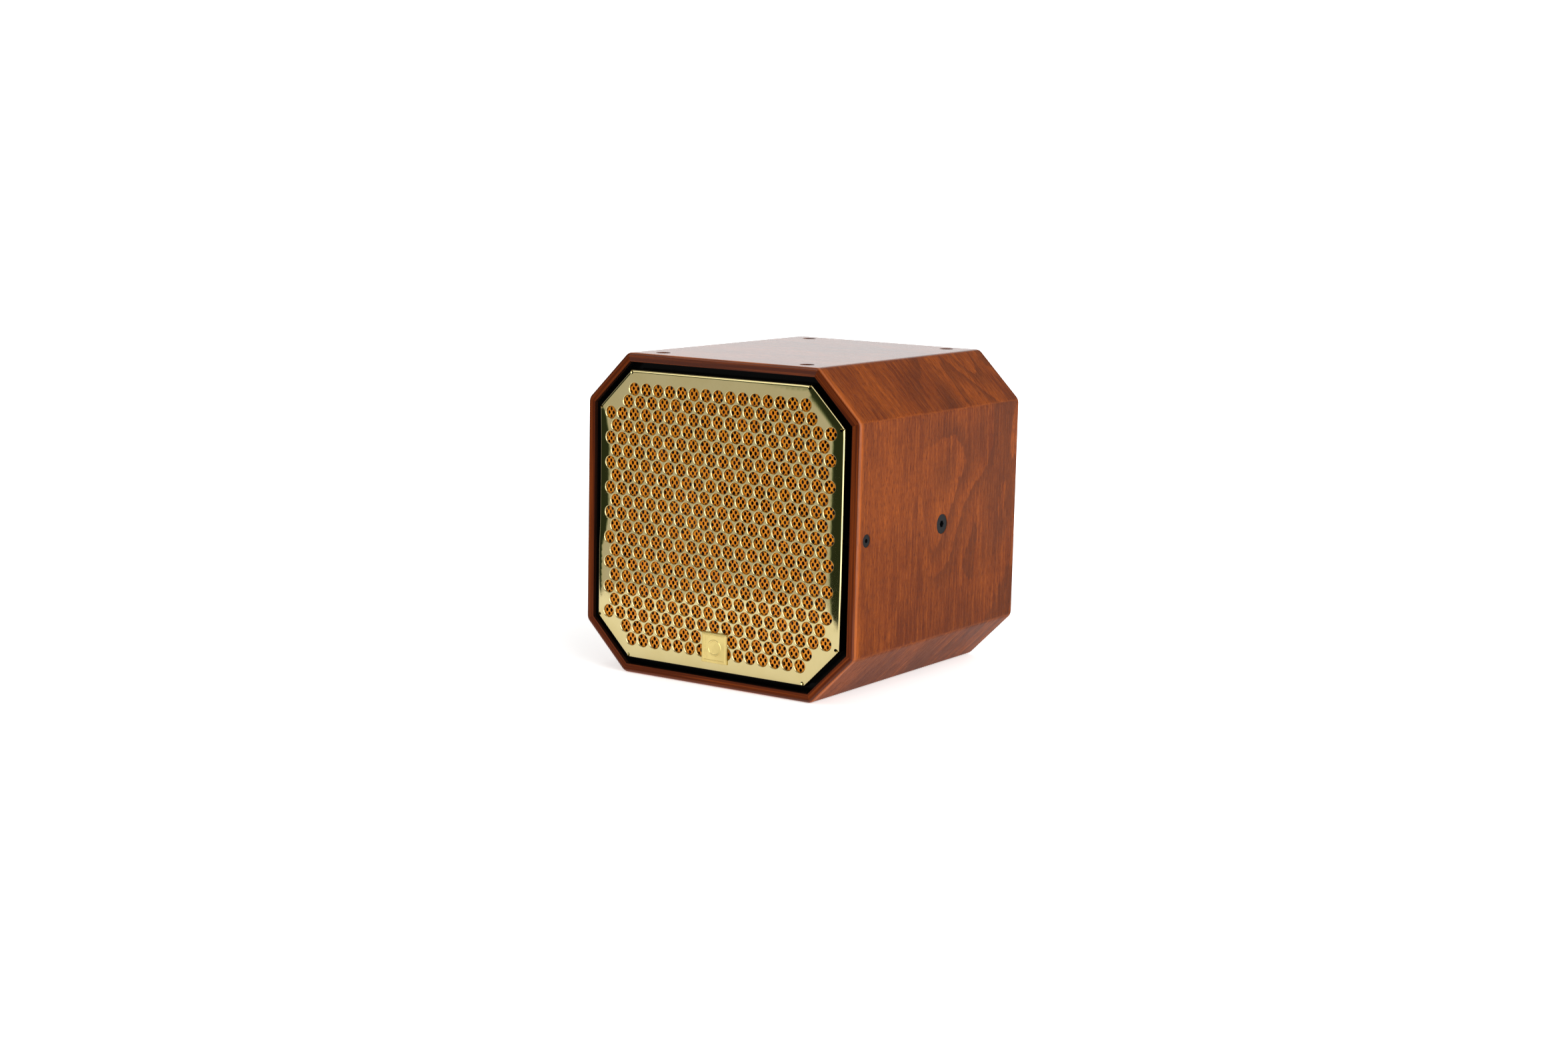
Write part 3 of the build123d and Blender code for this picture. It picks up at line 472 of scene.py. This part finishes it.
def build_grille(material):
    shell = Shell()

    def point(x, z, depth):
        return shell.at(x, GRILLE_FACE + dish(x, z) + depth, MIDDLE + z)

    centres, uses = {}, {}
    for centre_x, centre_z in hole_centres():
        centres.setdefault(round(centre_z / ROW), []).append(centre_x)
        rings = []
        for step, fall in LIP_PROFILE:
            rings.append(cell_ring(centre_x, centre_z, HOLE + LIP_WIDTH * step, fall))
        rings.append(cell_ring(centre_x, centre_z, HOLE + LIP_WIDTH + LAND, 0))
        rings.append(cell_ring(centre_x, centre_z, PITCH, 0))
        back_inner = cell_ring(centre_x, centre_z, HOLE, COLLAR)
        back_outer = cell_ring(centre_x, centre_z, PITCH, SHEET)
        rings = [[point(*place) for place in ring] for ring in rings]
        back_inner, back_outer = [[point(*place) for place in ring] for ring in (back_inner, back_outer)]
        edge = cell_ring(centre_x, centre_z, PITCH, 0)
        for k in range(CELL_SIDES):
            n = (k + 1) % CELL_SIDES
            for inner, outer in zip(rings, rings[1:]):
                shell.face(inner[k], outer[k], outer[n], inner[n])
            shell.face(rings[0][k], rings[0][n], back_inner[n], back_inner[k])
            shell.face(back_inner[k], back_inner[n], back_outer[n], back_outer[k])
            ends = tuple(sorted((rings[-1][k], rings[-1][n])))
            uses.setdefault(ends, []).append((edge[k][:2], edge[n][:2]))

    sides, arcs = grille_outline()
    flat = [Vector(place) for pairs in uses.values() if len(pairs) == 1 for place in pairs[0]]
    edges = [(i, i + 1) for i in range(0, len(flat), 2)]
    loop = [place for side, arc in zip(sides, arcs) for place in side + arc]
    edges += [(len(flat) + i, len(flat) + (i + 1) % len(loop)) for i in range(len(loop))]
    flat += loop
    for inset in FILL_INSETS:
        corners = octagon(inset)
        for start, end in zip(corners, corners[1:] + corners[:1]):
            start, end = Vector(start), Vector(end)
            count = ceil((end - start).length / FILL_STEP)
            ring = [start.lerp(end, step / count) for step in range(count)]
            flat += [place for place in ring if clear_of_cells(place, centres)]
    places, _, triangles, *_ = delaunay_2d_cdt(flat, edges, [], 0, 1e-6, False)
    edge_corners = [Vector(corner) for corner in octagon(GRILLE_INSET + BEND)]
    for triangle in triangles:
        middle = sum((places[i] for i in triangle), Vector((0, 0))) / len(triangle)
        outside = inset_of(*middle) < GRILLE_INSET + BEND - 1e-4
        notched = any((middle - corner).length < RELIEF * 0.97 for corner in edge_corners)
        if outside or notched or in_cell(*middle, centres):
            continue
        shell.face(*[point(*places[i], 0) for i in triangle])
        shell.face(*[point(*places[i], SHEET) for i in reversed(triangle)])

    # walls of the relief holes and the folded flanges
    for index, (side, arc) in enumerate(zip(sides, arcs)):
        notch = [side[-1]] + arc + [sides[(index + 1) % 8][0]]
        for one, two in zip(notch, notch[1:]):
            shell.face(point(*one, 0), point(*one, SHEET), point(*two, SHEET), point(*two, 0))
        reach = GRILLE_BACK - GRILLE_FACE if index % 4 == 0 else SHORT_FLANGE
        along = (side[-1] - side[0]).normalized()
        outward = Vector((along.y, -along.x))
        turns = [radians(90 / BEND_STEPS * step) for step in range(BEND_STEPS + 1)]
        straight = [BEND + (reach - 1.0 - BEND) * step / 2 for step in (1, 2)]
        outer = [(BEND * sin(t), BEND - BEND * cos(t)) for t in turns] + [(BEND, d) for d in straight]
        thin = BEND - SHEET
        inner = [(thin * sin(t), BEND - thin * cos(t)) for t in turns] + [(thin, d) for d in straight]
        columns = []
        for number, place in enumerate(side):
            fall = GRILLE_FACE + dish(*place)
            stretch = (number == len(side) - 1) - (number == 0)
            column = []
            for profile in (outer, inner):
                line = []
                for offset, depth in profile:
                    meet = (RELIEF - JOINT_GAP + offset * tan(pi / 8)) * min(1.0, depth / 0.7)
                    spot = place + outward * offset + along * stretch * meet
                    line.append(shell.at(spot.x, fall + depth, MIDDLE + spot.y))
                column.append(line)
            columns.append(column)
        for (outer_a, inner_a), (outer_b, inner_b) in zip(columns, columns[1:]):
            for i in range(len(outer) - 1):
                shell.face(outer_a[i], outer_a[i + 1], outer_b[i + 1], outer_b[i])
                shell.face(inner_a[i], inner_b[i], inner_b[i + 1], inner_a[i + 1])
            shell.face(outer_a[-1], inner_a[-1], inner_b[-1], outer_b[-1])
        for (outer_end, inner_end), flip in ((columns[0], False), (columns[-1], True)):
            for i in range(len(outer) - 1):
                strip = [outer_end[i], inner_end[i], inner_end[i + 1], outer_end[i + 1]]
                shell.face(*(reversed(strip) if flip else strip))
    shell.piece("grille_sheet", material, ROOT, "grille", sharp=50)


def cell_ring(centre_x, centre_z, radius, depth):
    """Points round a hole, no further out than the border with the next cells."""
    ring = []
    for k in range(CELL_SIDES):
        turn = 30 + 360 / CELL_SIDES * k
        reach = min(radius, PITCH / 2 / cos(radians((turn + 30) % 60 - 30)))
        ring.append((centre_x + reach * cos(radians(turn)), centre_z + reach * sin(radians(turn)), depth))
    return ring


def clear_of_cells(place, centres):
    """True for a point well outside every hole's cell."""
    return not any(in_cell(place.x + dx, place.y + dz, centres)
                   for dx in (-CLEARANCE, 0, CLEARANCE) for dz in (-CLEARANCE, 0, CLEARANCE))


# ---------------------------------------------------------------- knitted mesh behind the grille
EYELET_PITCH = 3.4
EYELET_ROW = 2.3
EYELET = (0.74, 1.12)
CLOTH_INSET = 12.4
CLOTH_MARGIN = 2.0  # eyelets whose middle lies nearer the cloth's edge are left out
CLOTH_SINK = 0.25


def build_cloth(material):
    shell = Shell()
    cloth_low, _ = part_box("grille_cloth")
    front = cloth_low.y / MM + CLOTH_SINK

    def ring(centre, outline, step, size, depth):
        made = []
        for x, z in outline:
            turn = atan2(z, x)
            hole = Vector((EYELET[0] * size[0] * cos(turn), EYELET[1] * size[1] * sin(turn)))
            spot = Vector(centre) + hole.lerp(Vector((x, z)), step)
            made.append(shell.at(spot.x, front + dish(*spot) + depth, MIDDLE + spot.y))
        return made

    top = (EYELET_PITCH ** 2 / 4 + EYELET_ROW ** 2) / 2 / EYELET_ROW
    side = top - EYELET_PITCH ** 2 / 4 / EYELET_ROW
    corners = [(EYELET_PITCH / 2, -side), (EYELET_PITCH / 2, side), (0, top),
               (-EYELET_PITCH / 2, side), (-EYELET_PITCH / 2, -side), (0, -top)]
    outline = []
    for index, (one, two) in enumerate(zip(corners, corners[1:] + corners[:1])):
        outline.append(one)
        if index % 3:
            outline.append(((one[0] + two[0]) / 2, (one[1] + two[1]) / 2))
    rows, columns = ceil(CABINET_HALF / EYELET_ROW), ceil(CABINET_HALF / EYELET_PITCH)
    number = 0
    for row in range(-rows, rows + 1):
        for column in range(-columns, columns + 1):
            centre = ((column + (row % 2) / 2) * EYELET_PITCH, row * EYELET_ROW)
            if inset_of(*centre) < CLOTH_INSET + CLOTH_MARGIN:
                continue
            number += 1
            size = (1 + 0.14 * scatter(number, 1), 1 + 0.12 * scatter(number, 2))
            eye = ring(centre, outline, 0.0, size, 0.42)
            crest = ring(centre, outline, 0.52, size, 0.06 + 0.05 * scatter(number, 3))
            border = ring(centre, outline, 1.0, size, 0.12)
            for k in range(len(outline)):
                n = (k + 1) % len(outline)
                shell.face(eye[k], crest[k], crest[n], eye[n])
                shell.face(crest[k], border[k], border[n], crest[n])
    made = shell.piece("knitted_mesh", material, ROOT, "grille_cloth", sharp=180)


# ---------------------------------------------------------------- badge
BADGE_TURNS = 96
# heights above the plate: at a radius for the ring, at an inset from the side for the frame
BADGE_CIRCLES = ((0.0, 0.0), (4.0, 0.0), (4.2, 0.24), (4.9, 0.28), (5.1, 0.0))
BADGE_FRAMES = ((2.0, 0.0), (1.85, 0.2), (1.45, 0.22), (1.3, 0.0), (0.4, 0.0), (0.12, -0.1), (0.0, -0.3))
BADGE_LEVEL = 0.3


def build_badge(material):
    """Square plate with a plain raised ring and frame."""
    shell = Shell()
    badge_low, badge_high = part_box("badge")
    middle = (badge_low + badge_high) / 2 / MM
    half = (badge_high.x - badge_low.x) / 2 / MM
    front = badge_low.y / MM + BADGE_LEVEL
    turns = [2 * pi * k / BADGE_TURNS for k in range(BADGE_TURNS)]

    def ring(reach, y, square):
        made = []
        for turn in turns:
            radius = reach / max(abs(cos(turn)), abs(sin(turn))) if square else reach
            made.append(shell.at(middle.x + radius * cos(turn), y, middle.z + radius * sin(turn)))
        return made

    rings = [ring(radius, front - height, False) for radius, height in BADGE_CIRCLES]
    rings += [ring(half - inset, front - height, True) for inset, height in BADGE_FRAMES]
    rings.append(ring(half, badge_high.y / MM + 0.05, True))
    for inner, outer in zip(rings, rings[1:]):
        for k in range(BADGE_TURNS):
            n = (k + 1) % BADGE_TURNS
            shell.face(inner[k], outer[k], outer[n], inner[n])
    shell.face(*reversed(rings[-1]))
    shell.piece("badge_plate", material, ROOT, "badge", sharp=35)


# ---------------------------------------------------------------- woofer suspension
SECTORS = 24
SECTOR_STEPS = 5
RIM_PLANE = -81.75
ROLL = (60.0, 69.0)  # inner and outer radius of the half roll
ROLL_HEIGHT = 4.5
RIM_OUTER = 73.0
SPIDER = (25.6, 50.0)  # inner and outer radius
SPIDER_PLANE = -43.5
SPIDER_FLATS = (1.6, 1.8)  # plain width at its inner and outer edge
SPIDER_WAVE = 0.85
SPIDER_TURN = 1.55  # radians of the wave to a millimetre
SPIDER_RISE = 0.8  # width in which the wave grows to its full height


def roll_height(radius):
    """Place of the rubber edge along the axis: flat rim, then a half roll."""
    if radius > ROLL[1]:
        return RIM_PLANE
    across = 2 * (radius - ROLL[0]) / (ROLL[1] - ROLL[0]) - 1
    return RIM_PLANE - ROLL_HEIGHT * sqrt(max(0.0, 1 - across * across))


def spider_height(radius):
    """Place of the corrugated spider along the axis."""
    edge = min(radius - SPIDER[0] - SPIDER_FLATS[0], SPIDER[1] - SPIDER_FLATS[1] - radius)
    wave = SPIDER_WAVE * sin((radius - SPIDER[0]) * SPIDER_TURN)
    return SPIDER_PLANE + wave * max(0.0, min(1.0, edge / SPIDER_RISE))


def build_suspension(name, node_name, height, inner, outer, steps, thickness, material):
    """Ring from the moving cone to the fixed frame, in sectors that each bend along their own radius."""
    radii = [inner + (outer - inner) * (1 - cos(pi * step / steps)) / 2 for step in range(steps + 1)]
    for sector in range(SECTORS):
        shell = Shell()
        turns = [2 * pi * (sector + step / SECTOR_STEPS) / SECTORS for step in range(SECTOR_STEPS + 1)]
        front, back = [[[shell.at(radius * cos(turn), height(radius) + side, MIDDLE + radius * sin(turn))
                         for radius in radii] for turn in turns] for side in (-thickness / 2, thickness / 2)]
        for row in range(SECTOR_STEPS):
            for i in range(steps):
                shell.face(front[row][i], front[row][i + 1], front[row + 1][i + 1], front[row + 1][i])
                shell.face(back[row][i], back[row + 1][i], back[row + 1][i + 1], back[row][i + 1])
        for i in (0, steps):
            for row in range(SECTOR_STEPS):
                shell.face(front[row][i], front[row + 1][i], back[row + 1][i], back[row][i])
        replaced = [node_name] if sector == 0 else []
        made = shell.piece(f"{name}_{sector:02d}", material, None, *replaced, sharp=70)
        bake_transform(made)


# ---------------------------------------------------------------- stage
FLOOR_GLOW = 0.50
STUDIO = 0.60
BACKDROP = 1.9
SOFTBOX = 3.0
CARD = 0.74
PAPER = 1.2  # white that the camera sees behind the part
GREEN_CAST = (0.72, 1.0, 0.55, 1)
FLOOR_RADIUS = 0.5
FLOOR_MIDDLE = (0.05, 0.1)
FLOOR_LEVEL = -0.0002  # just below the bottom panel
FLOOR_SIDES = 96


def build_stage():
    mesh = bpy.data.meshes.new("floor")
    turns = [2 * pi * k / FLOOR_SIDES for k in range(FLOOR_SIDES)]
    rim = [(FLOOR_RADIUS * cos(turn) + FLOOR_MIDDLE[0],
            FLOOR_RADIUS * sin(turn) + FLOOR_MIDDLE[1], FLOOR_LEVEL) for turn in turns]
    mesh.from_pydata(rim, [], [list(range(FLOOR_SIDES))])
    floor_piece = bpy.data.objects.new("floor", mesh)
    bpy.context.collection.objects.link(floor_piece)
    material, _, _ = new_material("floor_paper", roughness=0.8, base_color=(0.86, 0.86, 0.86, 1),
                                  emission_color=(1, 1, 1, 1), emission_strength=FLOOR_GLOW)
    mesh.materials.append(material)


def build_world():
    """Studio seen in the reflections: dim and greenish in front, a card left and a softbox right."""
    world = bpy.data.worlds.new("studio")
    bpy.context.scene.world = world
    world.use_nodes = True
    tree = world.node_tree
    background = tree.nodes["Background"]
    ray = node(tree, "TexCoord").outputs["Generated"]
    parts = node(tree, "SeparateXYZ", {0: ray})
    x, y, z = parts.outputs[0], parts.outputs[1], parts.outputs[2]
    azimuth = calc(tree, "ARCTAN2", x, calc(tree, "MULTIPLY", y, -1))

    def sector(start, end, soft):
        start, end, soft = radians(start), radians(end), radians(soft)
        return calc(tree, "MULTIPLY", fade(tree, azimuth, start - soft, start + soft),
                    fade(tree, azimuth, end + soft, end - soft))

    card = calc(tree, "MULTIPLY", sector(-47, -22, 2), fade(tree, z, 0.27, 0.13))
    dark = calc(tree, "MULTIPLY", sector(-80, 38, 6), calc(tree, "SUBTRACT", 1.0, card))
    dark = calc(tree, "MULTIPLY", dark, fade(tree, z, 0.94, 0.80))
    softbox = calc(tree, "MULTIPLY", sector(44, 118, 4), fade(tree, z, -0.36, -0.26))
    softbox = calc(tree, "MULTIPLY", softbox, fade(tree, z, 0.92, 0.80))
    backdrop = calc(tree, "MULTIPLY", fade(tree, y, 0.35, 0.75), fade(tree, z, 0.42, 0.20))
    level = calc(tree, "MULTIPLY_ADD", backdrop, BACKDROP - STUDIO, STUDIO)
    level = calc(tree, "MULTIPLY_ADD", softbox, SOFTBOX - STUDIO, level)
    level = calc(tree, "MULTIPLY_ADD", card, CARD - STUDIO, level)
    level = calc(tree, "MULTIPLY", level, calc(tree, "SUBTRACT", 1.0, calc(tree, "MULTIPLY", dark, 0.92)))
    straight = node(tree, "LightPath").outputs["Is Camera Ray"]
    tint = calc(tree, "MULTIPLY", dark, calc(tree, "SUBTRACT", 1.0, straight))
    level = calc(tree, "MAXIMUM", level, calc(tree, "MULTIPLY", straight, PAPER))
    tree.links.new(mixed(tree, tint, (1, 1, 1, 1), GREEN_CAST), background.inputs["Color"])
    tree.links.new(level, background.inputs["Strength"])


def paint(names, material):
    for name in names:
        shown = frame["nodes"][name]
        if len(shown.material_slots):
            for slot in shown.material_slots:
                slot.material = material
        else:
            shown.data.materials.append(material)


# ---------------------------------------------------------------- making
bpy.context.scene.view_settings.view_transform = "Standard"
place_camera()
build_stage()
build_world()
area_light("key", (-0.9, -1.3, 1.5), (0, 0, 0.1), (1.2, 1.2), 9)
area_light("top", (0.2, 0.5, 1.9), (0, 0, 0.1), (1.6, 1.2), 2.5)

PANELS = ["right_panel", "corner_panel_top_right", "top_panel", "corner_panel_top_left",
          "left_panel", "corner_panel_bottom_left", "bottom_panel", "corner_panel_bottom_right"]
for index, panel in enumerate(PANELS):
    gloss = 0.42 if panel == "top_panel" else 0.05
    paint([panel], veneer(f"veneer_{index}", index * pi / 4, index + 1, gloss))

build_grille(polished_brass("polished_brass"))
build_badge(polished_brass("badge_brass", (0.66, 0.52, 0.20, 1), 0.26, 0.0))
build_cloth(yarn("knitted_yarn"))

FINISHES = {
    "black_steel": plain("black_oxide", (0.005, 0.005, 0.006, 1), 0.4,
                         grain=1.6, height=0.02, specular_ior_level=0.05),
    "plated_steel": turned_metal("plated_steel", (0.6, 0.6, 0.6, 1), 0.25),
    "copper_wire": turned_metal("copper_wire", (0.72, 0.30, 0.14, 1), 0.32),
    "former_foil": turned_metal("former_foil", (0.55, 0.55, 0.56, 1), 0.3),
    "diaphragm_foil": turned_metal("diaphragm_foil", (0.50, 0.49, 0.47, 1), 0.22),
    "contact_metal": turned_metal("contact_metal", (0.78, 0.62, 0.34, 1), 0.2),
    "black_plastic": plain("black_plastic", (0.016, 0.016, 0.017, 1), 0.42, grain=2.0),
    "plate_paint": plain("plate_paint", (0.010, 0.010, 0.011, 1), 0.5,
                         grain=1.4, height=0.09, specular_ior_level=0.3),
    "cast_frame": plain("cast_frame", (0.022, 0.022, 0.024, 1), 0.5, grain=0.9, height=0.08),
    "black_board": plain("black_board", (0.008, 0.008, 0.009, 1), 0.62,
                         grain=0.9, height=0.12, specular_ior_level=0.25),
    "gasket_rubber": plain("gasket_rubber", (0.02, 0.02, 0.02, 1), 0.85, grain=2.6, height=0.06),
    "surround_rubber": plain("surround_rubber", (0.014, 0.014, 0.014, 1), 0.5,
                             grain=1.5, height=0.02),
    "lead_jacket": plain("lead_jacket", (0.05, 0.006, 0.006, 1), 0.45, grain=1.2),
    "cone_paper": plain("cone_paper", (0.030, 0.027, 0.024, 1), 0.9,
                        grain=1.3, height=0.14, contrast=0.45),
    "spider_cloth": plain("spider_cloth", (0.46, 0.27, 0.09, 1), 0.8,
                          grain=2.4, height=0.12, contrast=0.3),
    "ferrite": plain("ferrite", (0.045, 0.045, 0.048, 1), 0.6,
                     grain=2.2, height=0.05, contrast=0.35),
    "circuit_board": plain("circuit_board", (0.015, 0.085, 0.035, 1), 0.35, grain=1.8, height=0.02),
    "capacitor_film": plain("capacitor_film", (0.60, 0.36, 0.04, 1), 0.3,
                            grain=0.8, height=0.02, contrast=0.15),
    "resistor_body": plain("resistor_body", (0.62, 0.60, 0.53, 1), 0.85,
                           grain=2.0, height=0.06, contrast=0.15),
    "bare_wood": plain("bare_wood", colour(196, 158, 112), 0.65, grain=0.7, height=0.05),
}
for slot, finish in FINISHES.items():
    paint([name for name, used in SLOTS.items() if used == slot], finish)
dull_steel = plain("dull_steel", JET, 0.8,
                   grain=1.6, height=0.02, specular_ior_level=0.02)
paint(["top_rigging_inserts", "bottom_rigging_inserts"], dull_steel)
build_suspension("surround_roll", "surround", roll_height, ROLL[0], RIM_OUTER, 26, 0.5,
                 FINISHES["surround_rubber"])
build_suspension("spider_wave", "spider", spider_height, *SPIDER, 40, 0.35,
                 FINISHES["spider_cloth"])
